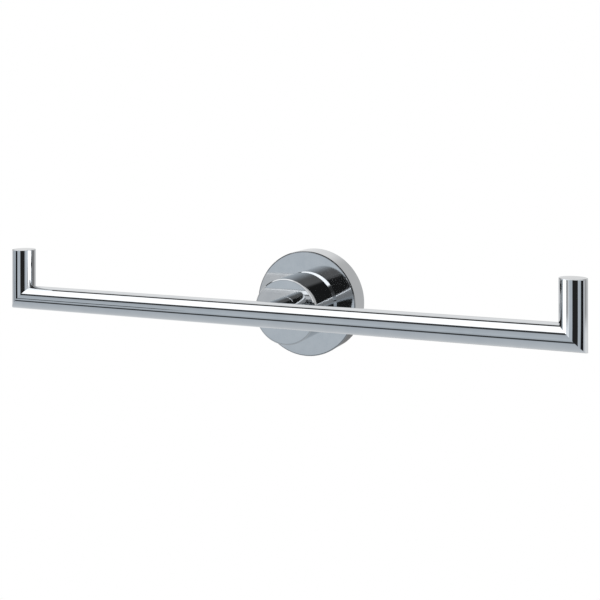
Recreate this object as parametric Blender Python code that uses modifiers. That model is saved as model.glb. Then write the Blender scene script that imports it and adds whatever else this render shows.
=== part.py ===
# Double toilet roll holder: a straight bar with two upturned ends, carried by a neck,
# a round boss and a round rosette that clamps over a wall plate.
# Metres. The wall is the plane Y = 0 with the room on its -Y side, +X runs along the bar
# and +Z is up. The origin is the centre of the rosette on the wall.
# A depth is a distance from the wall into the room.

import math

import bmesh
import bpy
from mathutils import Matrix

# Clearances
SEAT_GAP = 0.0003
COVER_GAP = 0.0004
CUT_OVERRUN = 0.002
MERGE_DISTANCE = 0.00001

# Bar and posts
BAR_WIDTH = 0.292
BAR_DIAMETER = 0.012
TUBE_WALL = 0.001
POST_HEIGHT = 0.031
BAR_RISE = 0.002
CAP_THICKNESS = 0.0015
CAP_SPIGOT_LENGTH = 0.004
CAP_CHAMFER = 0.0003
INSERT_LENGTH = 0.018

# Neck and boss
NECK_DIAMETER = 0.011
NECK_LENGTH = 0.0145
NECK_ROOT_DEPTH = 0.002
NECK_SHOULDER = 0.0007
NECK_FLAT_share = 0.8
BOSS_DIAMETER = 0.0325
BOSS_LENGTH = 0.027
BOSS_FRONT_CHAMFER = 0.0005
BOSS_REAR_CHAMFER = 0.001
BOSS_WALL = 0.007
BOSS_FRONT_WALL = 0.006

# Rosette cover
ROSETTE_DIAMETER = 0.054
ROSETTE_WALL = 0.003
ROSETTE_FRONT_WALL = 0.0021
ROSETTE_CHAMFER = 0.0008

# Wall plate
PLATE_THICKNESS = 0.0025
PLATE_RIM = 0.0032
PLATE_RIM_ROOM = 0.0034
PLATE_PAD_DIAMETER = 0.011
PLATE_RELIEF = 0.0004
PLATE_CHAMFER = 0.0005
PLATE_FLAT_share = 0.5
SLOT_TRAVEL = 0.0034

# Wall screws, washers and plugs
SCREW_SPACING = 0.024
SCREW_DIAMETER = 0.004
SCREW_LENGTH = 0.03
SCREW_POINT = 0.004
SCREW_HEAD_DIAMETER = 0.008
SCREW_HEAD_HEIGHT = 0.0024
RECESS_WIDTH = 0.001
RECESS_share = 0.55
WASHER_THICKNESS = 0.0008
WASHER_RING = 0.0022
PLUG_LENGTH = 0.03
PLUG_WALL = 0.0007
PLUG_TAPER = 0.003
PLUG_SLIT_WIDTH = 0.001
PLUG_SLIT_share = 0.6

# Clamp bolt, its washers and the dowel
BOLT_DIAMETER = 0.005
BOLT_REACH_share = 0.6
BOLT_CHAMFER = 0.0005
BOLT_HEAD_DIAMETER = 0.0085
BOLT_HEAD_HEIGHT = 0.003
BOLT_HEAD_ROOM = 0.0004
BOLT_SOCKET_share = 0.55
SPRING_WASHER_THICKNESS = 0.001
SPRING_WASHER_RING = 0.0016
SPRING_WASHER_SPLIT = 0.0012
CLAMP_WASHER_THICKNESS = 0.0008
CLAMP_WASHER_RING = 0.0022
DOWEL_DIAMETER = 0.003
DOWEL_LENGTH = 0.007
DOWEL_CHAMFER = 0.0003

# Grub screw
GRUB_DIAMETER = 0.004
GRUB_RECESS = 0.0004
GRUB_CHAMFER = 0.0003
GRUB_SOCKET_share = 0.55

# Facets
LARGE_STEPS = 96
TUBE_STEPS = 64
SMALL_STEPS = 32
HEX_STEPS = 6
ARC_STEPS = 8
SHARP_ANGLE = math.radians(30)
FLAT_LIMIT = 1.0001

# Radii
bar_radius = BAR_DIAMETER / 2
tube_bore = bar_radius - TUBE_WALL
plug_radius_in_tube = tube_bore - SEAT_GAP
neck_radius = NECK_DIAMETER / 2
neck_root_radius = neck_radius - NECK_SHOULDER
boss_radius = BOSS_DIAMETER / 2
rosette_radius = ROSETTE_DIAMETER / 2
rosette_bore = rosette_radius - ROSETTE_WALL
plate_radius = rosette_bore - COVER_GAP
bolt_radius = BOLT_DIAMETER / 2
bolt_hole = bolt_radius + SEAT_GAP
screw_radius = SCREW_DIAMETER / 2
screw_hole = screw_radius + SEAT_GAP
dowel_radius = DOWEL_DIAMETER / 2
dowel_hole = dowel_radius + SEAT_GAP
grub_radius = GRUB_DIAMETER / 2

# Depths from the wall, from the plate outwards
washer_rear = PLATE_THICKNESS + SEAT_GAP
screw_seat = washer_rear + WASHER_THICKNESS + SEAT_GAP
screw_top = screw_seat + SCREW_HEAD_HEIGHT
bolt_head_rear = screw_top + BOLT_HEAD_ROOM
bolt_head_front = bolt_head_rear + BOLT_HEAD_HEIGHT
spring_washer_rear = bolt_head_front + SEAT_GAP
clamp_washer_rear = spring_washer_rear + SPRING_WASHER_THICKNESS + SEAT_GAP
cover_ceiling = clamp_washer_rear + CLAMP_WASHER_THICKNESS + SEAT_GAP
rosette_front = cover_ceiling + ROSETTE_FRONT_WALL
dowel_rear = cover_ceiling + SEAT_GAP
dowel_front = dowel_rear + DOWEL_LENGTH
boss_rear = rosette_front + SEAT_GAP
boss_front = rosette_front + BOSS_LENGTH
neck_rear = boss_front + SEAT_GAP
bar_depth = boss_front + NECK_LENGTH + bar_radius
bolt_tip = bar_depth + plug_radius_in_tube * BOLT_REACH_share
plate_rim_top = cover_ceiling - PLATE_RIM_ROOM
grub_depth = plate_rim_top / 2
plate_flat = plate_radius - PLATE_RIM * PLATE_FLAT_share
dowel_offset = boss_radius - BOSS_WALL / 2
post_offset = BAR_WIDTH / 2 - bar_radius
post_top = POST_HEIGHT - bar_radius


def clear_scene():
    for item in list(bpy.data.objects):
        bpy.data.objects.remove(item, do_unlink=True)


def new_collection(name):
    group = bpy.data.collections.new(name)
    bpy.context.scene.collection.children.link(group)
    return group


clear_scene()
parts = new_collection("double_toilet_roll_holder")
cutters = new_collection("cutters")


def finish(name, colour, roughness, metallic):
    material = bpy.data.materials.new(name)
    material.use_nodes = True
    shader = material.node_tree.nodes["Principled BSDF"]
    shader.inputs["Base Color"].default_value = (*colour, 1.0)
    shader.inputs["Roughness"].default_value = roughness
    shader.inputs["Metallic"].default_value = metallic
    material.diffuse_color = (*colour, 1.0)
    return material


def chrome(name):
    return finish(name, (0.62, 0.64, 0.66), 0.06, 1.0)


def zinc(name):
    return finish(name, (0.48, 0.49, 0.50), 0.4, 1.0)


def steel(name):
    return finish(name, (0.52, 0.52, 0.53), 0.3, 1.0)


def brass(name):
    return finish(name, (0.62, 0.48, 0.22), 0.35, 1.0)


def nylon(name):
    return finish(name, (0.45, 0.46, 0.47), 0.55, 0.0)


# An object's evaluated shape as a plain mesh, shaded smooth with its real edges sharp
def plain_mesh(item):
    bpy.context.scene.collection.objects.link(item)
    bpy.context.view_layer.update()
    graph = bpy.context.evaluated_depsgraph_get()
    mesh = bpy.data.meshes.new_from_object(item.evaluated_get(graph))
    mesh.name = item.name
    shape = bmesh.new()
    shape.from_mesh(mesh)
    bmesh.ops.remove_doubles(shape, verts=shape.verts, dist=MERGE_DISTANCE)
    flat = [corner for corner in shape.verts if corner.calc_shell_factor() < FLAT_LIMIT]
    centres = [corner for corner in flat if corner.co.xy.length < MERGE_DISTANCE]
    bmesh.ops.dissolve_verts(shape, verts=centres)
    shape.to_mesh(mesh)
    shape.free()
    mesh.shade_smooth()
    mesh.set_sharp_from_angle(angle=SHARP_ANGLE)
    bpy.data.objects.remove(item, do_unlink=True)
    return mesh


# A profile of (radius, height) points turned about local Z, outer side first and downwards
def turned(name, profile, steps, ring=False):
    points = [(radius, 0.0, height) for radius, height in profile]
    edges = [(index, index + 1) for index in range(len(points) - 1)]
    if ring:
        edges.append((len(points) - 1, 0))
    outline = bpy.data.meshes.new(name)
    outline.from_pydata(points, edges, [])
    item = bpy.data.objects.new(name, outline)
    turn = item.modifiers.new("turn", "SCREW")
    turn.axis = "Z"
    turn.steps = steps
    turn.render_steps = steps
    turn.use_merge_vertices = True
    turn.merge_threshold = MERGE_DISTANCE
    return bpy.data.objects.new(name, plain_mesh(item))


def rod(name, radius, bottom, top, steps):
    return turned(name, [(0, top), (radius, top), (radius, bottom), (0, bottom)], steps)


def tube(name, radius, bore, bottom, top, steps):
    profile = [(radius, top), (radius, bottom), (bore, bottom), (bore, top)]
    return turned(name, profile, steps, ring=True)


def block(name, size):
    mesh = bpy.data.meshes.new(name)
    shape = bmesh.new()
    bmesh.ops.create_cube(shape, size=1.0, matrix=Matrix.Diagonal((*size, 1.0)))
    shape.to_mesh(mesh)
    shape.free()
    return bpy.data.objects.new(name, mesh)


# A slot with round ends, as a filled flat curve with thickness
def slot_block(name, half_travel, radius, thickness):
    angles = [-math.pi / 2 + math.pi * step / ARC_STEPS for step in range(ARC_STEPS + 1)]
    right = [(half_travel + radius * math.cos(a), radius * math.sin(a)) for a in angles]
    outline = right + [(-x, -y) for x, y in right]
    curve = bpy.data.curves.new(name, "CURVE")
    curve.dimensions = "2D"
    curve.fill_mode = "BOTH"
    curve.extrude = thickness / 2
    spline = curve.splines.new("POLY")
    spline.points.add(len(outline) - 1)
    for point, (x, y) in zip(spline.points, outline):
        point.co = (x, y, 0.0, 1.0)
    spline.use_cyclic_u = True
    return bpy.data.objects.new(name, plain_mesh(bpy.data.objects.new(name, curve)))


def empty(name, parent=None, location=(0, 0, 0), rotation=(0, 0, 0)):
    item = bpy.data.objects.new(name, None)
    parts.objects.link(item)
    item.parent = parent
    item.location = location
    item.rotation_euler = rotation
    return item


def place(item, parent, location=(0, 0, 0), rotation=(0, 0, 0)):
    item.parent = parent
    item.location = location
    item.rotation_euler = rotation


def part(item, material, parent, location=(0, 0, 0), rotation=(0, 0, 0)):
    parts.objects.link(item)
    item.data.materials.clear()
    item.data.materials.append(material)
    place(item, parent, location, rotation)
    return item


def cutter(item, parent, location=(0, 0, 0), rotation=(0, 0, 0)):
    cutters.objects.link(item)
    item.hide_render = True
    item.display_type = "WIRE"
    place(item, parent, location, rotation)
    return item


def cut(target, tool):
    modifier = target.modifiers.new(tool.name, "BOOLEAN")
    modifier.operation = "DIFFERENCE"
    modifier.solver = "EXACT"
    modifier.object = tool


# Frames whose local X is along the bar, Y is up and Z is the depth from the wall
QUARTER = math.pi / 2
ALONG_BAR = (0, QUARTER, 0)
UPWARDS = (-QUARTER, 0, 0)
DOWNWARDS = (QUARTER, 0, 0)
INTO_ROOM = (QUARTER, 0, 0)
wall = empty("wall_frame", rotation=INTO_ROOM)
holder = empty("holder_frame", rotation=INTO_ROOM)
grub_axis = empty("grub_screw_axis", holder, (0, 0, grub_depth), DOWNWARDS)
corners = {"left": -1, "right": 1}
screw_places = {"upper": SCREW_SPACING / 2, "lower": -SCREW_SPACING / 2}
slot_turns = {"upper": QUARTER, "lower": 0}


# Wall plate: a shallow dish with two slots, which rests on the wall with its rim and a pad in
# the middle, and has a flat below for the grub screw's tip
def make_wall_plate():
    plate = part(turned("wall_plate", [
        (0, PLATE_THICKNESS),
        (plate_radius - PLATE_RIM, PLATE_THICKNESS),
        (plate_radius - PLATE_RIM, plate_rim_top),
        (plate_radius - PLATE_CHAMFER, plate_rim_top),
        (plate_radius, plate_rim_top - PLATE_CHAMFER),
        (plate_radius, 0),
        (plate_radius - PLATE_RIM, 0),
        (plate_radius - PLATE_RIM, PLATE_RELIEF),
        (PLATE_PAD_DIAMETER / 2, PLATE_RELIEF),
        (PLATE_PAD_DIAMETER / 2, 0),
        (0, 0),
    ], LARGE_STEPS), zinc("zinc_wall_plate"), wall)
    for name, height in screw_places.items():
        slot = slot_block("slot_" + name, SLOT_TRAVEL / 2, screw_hole, 2 * PLATE_THICKNESS + CUT_OVERRUN)
        cut(plate, cutter(slot, wall, (0, height, 0), (0, 0, slot_turns[name])))
    flat_size = (2 * plate_radius, plate_radius, 2 * plate_rim_top + CUT_OVERRUN)
    flat = block("grub_flat", flat_size)
    cut(plate, cutter(flat, wall, (0, -plate_flat - plate_radius / 2, 0)))


# Wall screws: a domed head with a cross recess on a pointed shank
def make_wall_screw(name, height):
    head = SCREW_HEAD_DIAMETER / 2
    dome = [(head * math.sin(QUARTER * step / ARC_STEPS),
             screw_seat + SCREW_HEAD_HEIGHT * math.cos(QUARTER * step / ARC_STEPS))
            for step in range(ARC_STEPS + 1)]
    tip = screw_seat - SCREW_LENGTH
    profile = dome + [(screw_radius, screw_seat), (screw_radius, tip + SCREW_POINT), (0, tip)]
    screw = part(turned("wall_screw_" + name, profile, SMALL_STEPS),
                 steel("steel_wall_screw_" + name), wall, (0, height, 0))
    recess_size = (SCREW_HEAD_DIAMETER * RECESS_share, RECESS_WIDTH, SCREW_HEAD_HEIGHT)
    for turn in (0, QUARTER):
        recess = block("recess_" + name, recess_size)
        lift = screw_top + SCREW_HEAD_HEIGHT * (0.5 - RECESS_share)
        cut(screw, cutter(recess, wall, (0, height, lift), (0, 0, turn)))


def make_screw_washer(name, height):
    washer = tube("screw_washer_" + name, screw_hole + WASHER_RING, screw_hole,
                  washer_rear, washer_rear + WASHER_THICKNESS, SMALL_STEPS)
    part(washer, steel("steel_screw_washer_" + name), wall, (0, height, 0))


# Wall plugs: a nylon sleeve behind the wall's face, tapered and slit at its far end
def make_wall_plug(name, height):
    outer = screw_hole + PLUG_WALL
    mouth = -SEAT_GAP
    end = mouth - PLUG_LENGTH
    plug = part(turned("wall_plug_" + name, [
        (outer, mouth),
        (outer, end + PLUG_TAPER),
        (screw_hole + PLUG_WALL / 2, end),
        (screw_hole, end),
        (screw_hole, mouth),
    ], SMALL_STEPS, ring=True), nylon("nylon_wall_plug_" + name), wall, (0, height, 0))
    slit_length = PLUG_LENGTH * PLUG_SLIT_share
    slit = block("plug_slit_" + name, (2 * outer + CUT_OVERRUN, PLUG_SLIT_WIDTH, 2 * slit_length))
    cut(plug, cutter(slit, wall, (0, height, end)))


def make_wall_fixings():
    for name, height in screw_places.items():
        make_wall_screw(name, height)
        make_screw_washer(name, height)
        make_wall_plug(name, height)


# The holes that run through several pieces of the holder
def make_bolt_bore():
    bore = rod("bolt_bore", bolt_hole, bolt_head_front, bolt_tip + SEAT_GAP, SMALL_STEPS)
    return cutter(bore, holder, (0, BAR_RISE, 0))


def make_dowel_bore():
    bore = rod("dowel_bore", dowel_hole, cover_ceiling - CUT_OVERRUN, dowel_front + SEAT_GAP, SMALL_STEPS)
    return cutter(bore, holder, (0, -dowel_offset, 0))


# Rosette cover: a round cup over the wall plate, tapped below for the grub screw
def make_rosette_cover(bolt_bore, dowel_bore):
    cover = part(turned("rosette_cover", [
        (0, rosette_front),
        (rosette_radius - ROSETTE_CHAMFER, rosette_front),
        (rosette_radius, rosette_front - ROSETTE_CHAMFER),
        (rosette_radius, SEAT_GAP),
        (rosette_bore, SEAT_GAP),
        (rosette_bore, cover_ceiling),
        (0, cover_ceiling),
    ], LARGE_STEPS), chrome("chrome_rosette_cover"), holder)
    grub_bore = rod("grub_bore", grub_radius + SEAT_GAP, plate_flat,
                    rosette_radius + CUT_OVERRUN, SMALL_STEPS)
    cut(cover, bolt_bore)
    cut(cover, dowel_bore)
    cut(cover, cutter(grub_bore, grub_axis))


# Boss: a turned cylinder, hollow behind, with a flatted recess in front for the neck's root
def make_boss(bolt_bore, dowel_bore):
    cavity = boss_radius - BOSS_WALL
    cavity_top = boss_front - BOSS_FRONT_WALL
    boss = part(turned("boss", [
        (0, boss_front),
        (boss_radius - BOSS_FRONT_CHAMFER, boss_front),
        (boss_radius, boss_front - BOSS_FRONT_CHAMFER),
        (boss_radius, boss_rear + BOSS_REAR_CHAMFER),
        (boss_radius - BOSS_REAR_CHAMFER, boss_rear),
        (cavity, boss_rear),
        (cavity, cavity_top),
        (0, cavity_top),
    ], LARGE_STEPS), chrome("chrome_boss"), holder)
    recess = rod("neck_recess", neck_root_radius + SEAT_GAP, boss_front - NECK_ROOT_DEPTH - SEAT_GAP,
                 boss_front + CUT_OVERRUN, SMALL_STEPS)
    cut_flats(cutter(recess, holder, (0, BAR_RISE, 0)), "recess_flat", SEAT_GAP)
    cut(boss, recess)
    cut(boss, bolt_bore)
    cut(boss, dowel_bore)


# Two flats, above and below, that stop the neck from turning in the boss
def cut_flats(target, name, gap):
    half = neck_root_radius * NECK_FLAT_share + gap
    length = 2 * (NECK_ROOT_DEPTH + gap + CUT_OVERRUN) if gap else 2 * NECK_ROOT_DEPTH
    centre = boss_front if gap else neck_rear - NECK_ROOT_DEPTH
    for side in (-1, 1):
        flat = block(name, (2 * neck_radius, neck_radius, length))
        cut(target, cutter(flat, holder, (0, BAR_RISE + side * (half + neck_radius / 2), centre)))


# Neck: a short round spigot, saddle-cut to the bar in front and flatted at its root
def make_neck(bolt_bore):
    root_rear = neck_rear - NECK_ROOT_DEPTH
    neck = part(turned("neck", [
        (neck_radius, bar_depth),
        (neck_radius, neck_rear),
        (neck_root_radius, neck_rear),
        (neck_root_radius, root_rear),
        (bolt_hole, root_rear),
        (bolt_hole, bar_depth),
    ], TUBE_STEPS, ring=True), chrome("chrome_neck"), holder, (0, BAR_RISE, 0))
    cut_flats(neck, "neck_flat", 0)
    saddle = rod("bar_saddle", bar_radius + SEAT_GAP, -BAR_DIAMETER, BAR_DIAMETER, TUBE_STEPS)
    cut(neck, cutter(saddle, holder, (0, BAR_RISE, bar_depth), ALONG_BAR))


# Clamp bolt: a low round head with a hexagon socket, from inside the rosette into the bar
def make_clamp_bolt():
    head = BOLT_HEAD_DIAMETER / 2
    bolt = part(turned("clamp_bolt", [
        (0, bolt_tip),
        (bolt_radius - BOLT_CHAMFER, bolt_tip),
        (bolt_radius, bolt_tip - BOLT_CHAMFER),
        (bolt_radius, bolt_head_front),
        (head, bolt_head_front),
        (head, bolt_head_rear + BOLT_CHAMFER),
        (head - BOLT_CHAMFER, bolt_head_rear),
        (0, bolt_head_rear),
    ], SMALL_STEPS), steel("steel_clamp_bolt"), holder, (0, BAR_RISE, 0))
    socket = rod("bolt_socket", head * BOLT_SOCKET_share, bolt_head_rear - CUT_OVERRUN,
                 bolt_head_rear + BOLT_HEAD_HEIGHT * BOLT_SOCKET_share, HEX_STEPS)
    cut(bolt, cutter(socket, holder, (0, BAR_RISE, 0)))


def make_clamp_washers():
    spring = tube("spring_washer", bolt_hole + SPRING_WASHER_RING, bolt_hole, spring_washer_rear,
                  spring_washer_rear + SPRING_WASHER_THICKNESS, SMALL_STEPS)
    part(spring, steel("steel_spring_washer"), holder, (0, BAR_RISE, 0))
    reach = bolt_hole + SPRING_WASHER_RING + CUT_OVERRUN
    split = block("spring_washer_split", (reach, SPRING_WASHER_SPLIT, 2 * SPRING_WASHER_THICKNESS))
    middle = spring_washer_rear + SPRING_WASHER_THICKNESS / 2
    cut(spring, cutter(split, holder, (reach / 2, BAR_RISE, middle)))
    flat = tube("clamp_washer", bolt_hole + CLAMP_WASHER_RING, bolt_hole, clamp_washer_rear,
                clamp_washer_rear + CLAMP_WASHER_THICKNESS, SMALL_STEPS)
    part(flat, steel("steel_clamp_washer"), holder, (0, BAR_RISE, 0))


# Dowel: keys the boss to the rosette, so that the bar stays level
def make_boss_dowel():
    part(turned("boss_dowel", [
        (0, dowel_front),
        (dowel_radius - DOWEL_CHAMFER, dowel_front),
        (dowel_radius, dowel_front - DOWEL_CHAMFER),
        (dowel_radius, dowel_rear + DOWEL_CHAMFER),
        (dowel_radius - DOWEL_CHAMFER, dowel_rear),
        (0, dowel_rear),
    ], SMALL_STEPS), steel("steel_boss_dowel"), holder, (0, -dowel_offset, 0))


# A block whose face lies on the mitre at one corner, on the bar's side or the post's side
def mitre_cutter(corner, side, keep):
    size = BAR_WIDTH / 4
    direction = 1 if keep == "bar" else -1
    reach = direction * (size - SEAT_GAP) / 2 / math.sqrt(2)
    centre = (side * (post_offset + reach), BAR_RISE + reach, bar_depth)
    mitre = block("mitre_" + keep + "_" + corner, (size, size, size))
    return cutter(mitre, holder, centre, (0, 0, side * QUARTER / 2))


# Bar: one tube mitred at both ends, drilled behind for the clamp bolt
def make_bar(bolt_bore):
    half = BAR_WIDTH / 2
    bar = part(tube("bar_tube", bar_radius, tube_bore, -half, half, TUBE_STEPS),
               chrome("chrome_bar_tube"), holder, (0, BAR_RISE, bar_depth), ALONG_BAR)
    for corner, side in corners.items():
        cut(bar, mitre_cutter(corner, side, "bar"))
    cut(bar, bolt_bore)
    insert = part(rod("bar_insert", plug_radius_in_tube, -INSERT_LENGTH / 2, INSERT_LENGTH / 2,
                      SMALL_STEPS),
                  brass("brass_bar_insert"), holder, (0, BAR_RISE, bar_depth), ALONG_BAR)
    cut(insert, bolt_bore)


# Posts: a short tube mitred below onto the bar's end, closed above by a cap with a spigot
def make_post(corner, side):
    seat = post_top - CAP_THICKNESS
    centre = (side * post_offset, BAR_RISE, bar_depth)
    post = part(tube("post_" + corner, bar_radius, tube_bore, -bar_radius, seat - SEAT_GAP, TUBE_STEPS),
                chrome("chrome_post_" + corner), holder, centre, UPWARDS)
    cut(post, mitre_cutter(corner, side, "post"))
    part(turned("post_cap_" + corner, [
        (0, post_top),
        (bar_radius - CAP_CHAMFER, post_top),
        (bar_radius, post_top - CAP_CHAMFER),
        (bar_radius, seat),
        (plug_radius_in_tube, seat),
        (plug_radius_in_tube, seat - CAP_SPIGOT_LENGTH),
        (0, seat - CAP_SPIGOT_LENGTH),
    ], TUBE_STEPS), chrome("chrome_post_cap_" + corner), holder, centre, UPWARDS)


# Grub screw: radial, below the rosette, with its hexagon socket outwards and its tip inwards
def make_grub_screw():
    head = rosette_radius - GRUB_RECESS
    tip = plate_flat + SEAT_GAP
    grub = part(turned("grub_screw", [
        (0, head),
        (grub_radius - GRUB_CHAMFER, head),
        (grub_radius, head - GRUB_CHAMFER),
        (grub_radius, tip + GRUB_CHAMFER),
        (grub_radius - GRUB_CHAMFER, tip),
        (0, tip),
    ], SMALL_STEPS), steel("steel_grub_screw"), grub_axis)
    socket = rod("grub_socket", grub_radius * GRUB_SOCKET_share,
                 head - (head - tip) * GRUB_SOCKET_share, head + CUT_OVERRUN, HEX_STEPS)
    cut(grub, cutter(socket, grub_axis))


def build():
    make_wall_plate()
    make_wall_fixings()
    bolt_bore = make_bolt_bore()
    dowel_bore = make_dowel_bore()
    make_rosette_cover(bolt_bore, dowel_bore)
    make_boss(bolt_bore, dowel_bore)
    make_neck(bolt_bore)
    make_clamp_bolt()
    make_clamp_washers()
    make_boss_dowel()
    make_bar(bolt_bore)
    for corner, side in corners.items():
        make_post(corner, side)
    make_grub_screw()
    bpy.context.view_layer.update()


build()
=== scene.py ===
# Double toilet roll holder: chrome finish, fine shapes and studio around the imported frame.
# Metres. The wall is y = 0, the room is on its -y side, +x runs along the bar, +z is up.
# A depth is a distance from the wall into the room.
import math

import bpy
import numpy as np
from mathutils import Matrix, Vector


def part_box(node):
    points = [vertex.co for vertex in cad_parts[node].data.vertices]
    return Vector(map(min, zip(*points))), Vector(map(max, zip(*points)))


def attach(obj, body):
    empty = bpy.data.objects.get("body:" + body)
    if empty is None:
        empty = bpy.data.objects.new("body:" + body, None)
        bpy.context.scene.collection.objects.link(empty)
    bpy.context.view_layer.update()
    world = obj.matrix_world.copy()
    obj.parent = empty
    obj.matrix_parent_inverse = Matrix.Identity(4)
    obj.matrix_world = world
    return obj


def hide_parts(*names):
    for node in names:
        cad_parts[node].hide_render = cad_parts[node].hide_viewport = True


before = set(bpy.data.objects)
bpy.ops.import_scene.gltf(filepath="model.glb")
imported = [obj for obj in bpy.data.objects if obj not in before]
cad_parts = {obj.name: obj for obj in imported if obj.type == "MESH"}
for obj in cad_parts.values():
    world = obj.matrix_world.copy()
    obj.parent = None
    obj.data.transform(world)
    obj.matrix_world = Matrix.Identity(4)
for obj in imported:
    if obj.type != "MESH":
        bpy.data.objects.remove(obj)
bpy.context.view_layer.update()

mm = 0.001
turnAround = 2 * math.pi
overrun = 1.0 * mm       # how far a cutter passes the faces that it opens
nearZero = 1e-6          # keeps a division from dividing by zero
print("frame loaded:", len(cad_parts), "nodes")


# Box of a CAD node as two arrays, lowest and highest corner
def nodeBox(node):
    low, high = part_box(node)
    return np.array(low), np.array(high)


# What the frame gives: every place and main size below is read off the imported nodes
barLow, barHigh = nodeBox("bar_tube")
coverLow, coverHigh = nodeBox("rosette_cover")
bossLow, bossHigh = nodeBox("boss")
neckLow, neckHigh = nodeBox("neck")
barCentre = (barLow + barHigh) / 2
barRadius = (barHigh[2] - barLow[2]) / 2
postLow, postHigh = nodeBox("post_right")
postOffset = (postLow[0] + postHigh[0]) / 2
postTop = nodeBox("post_cap_right")[1][2]
capSeat = postHigh[2]
neckHeight = (neckLow[2] + neckHigh[2]) / 2
rosetteFront = -coverLow[1]
bossFront = -bossLow[1]


# Camera
camera = {
    "place": (0.195481, -0.493248, 0.085714),
    "headingDegrees": 22.532,      # left of straight at the wall, level
    "lens": 60.32,                 # on a 36 mm sensor
    "sensor": 36.0,
    "shiftUp": -0.2716,            # the photo's horizon lies above its middle
    "clipStart": 0.01,
}


def makeCamera(spec):
    data = bpy.data.cameras.new("photoCamera")
    data.lens = spec["lens"]
    data.sensor_width = spec["sensor"]
    data.shift_y = spec["shiftUp"]
    data.clip_start = spec["clipStart"]
    item = bpy.data.objects.new("photoCamera", data)
    item.location = spec["place"]
    item.rotation_euler = (math.radians(90), 0, math.radians(spec["headingDegrees"]))
    bpy.context.scene.collection.objects.link(item)
    bpy.context.scene.camera = item


makeCamera(camera)
bpy.context.scene.view_settings.view_transform = "Standard"
print("camera placed")


# Node and colour helpers
def linearColour(hexText):
    channels = np.array([int(hexText[i:i + 2], 16) for i in (1, 3, 5)]) / 255
    linear = np.where(channels <= 0.04045, channels / 12.92, ((channels + 0.055) / 1.055) ** 2.4)
    return (*linear.tolist(), 1.0)


# Adds one node: settings are its properties, inputs are values or the sockets linked to them
def addNode(tree, kind, inputs=None, **settings):
    node = tree.nodes.new(kind)
    for name, value in settings.items():
        setattr(node, name, value)
    for name, value in (inputs or {}).items():
        if isinstance(value, bpy.types.NodeSocket):
            tree.links.new(value, node.inputs[name])
        else:
            node.inputs[name].default_value = value
    return node


# The result of one maths node
def addMath(tree, operation, first, second):
    return addNode(tree, "ShaderNodeMath", {0: first, 1: second}, operation=operation).outputs[0]


# Fills a colour ramp from (position, colour) rows
def fillRamp(node, stops):
    elements = node.color_ramp.elements
    while len(elements) < len(stops):
        elements.new(1.0)
    for element, (position, colour) in zip(elements, stops):
        element.position = position
        element.color = colour


def newMaterial(name):
    material = bpy.data.materials.new(name)
    material.use_nodes = True
    material.node_tree.nodes.clear()
    return material, material.node_tree


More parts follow.
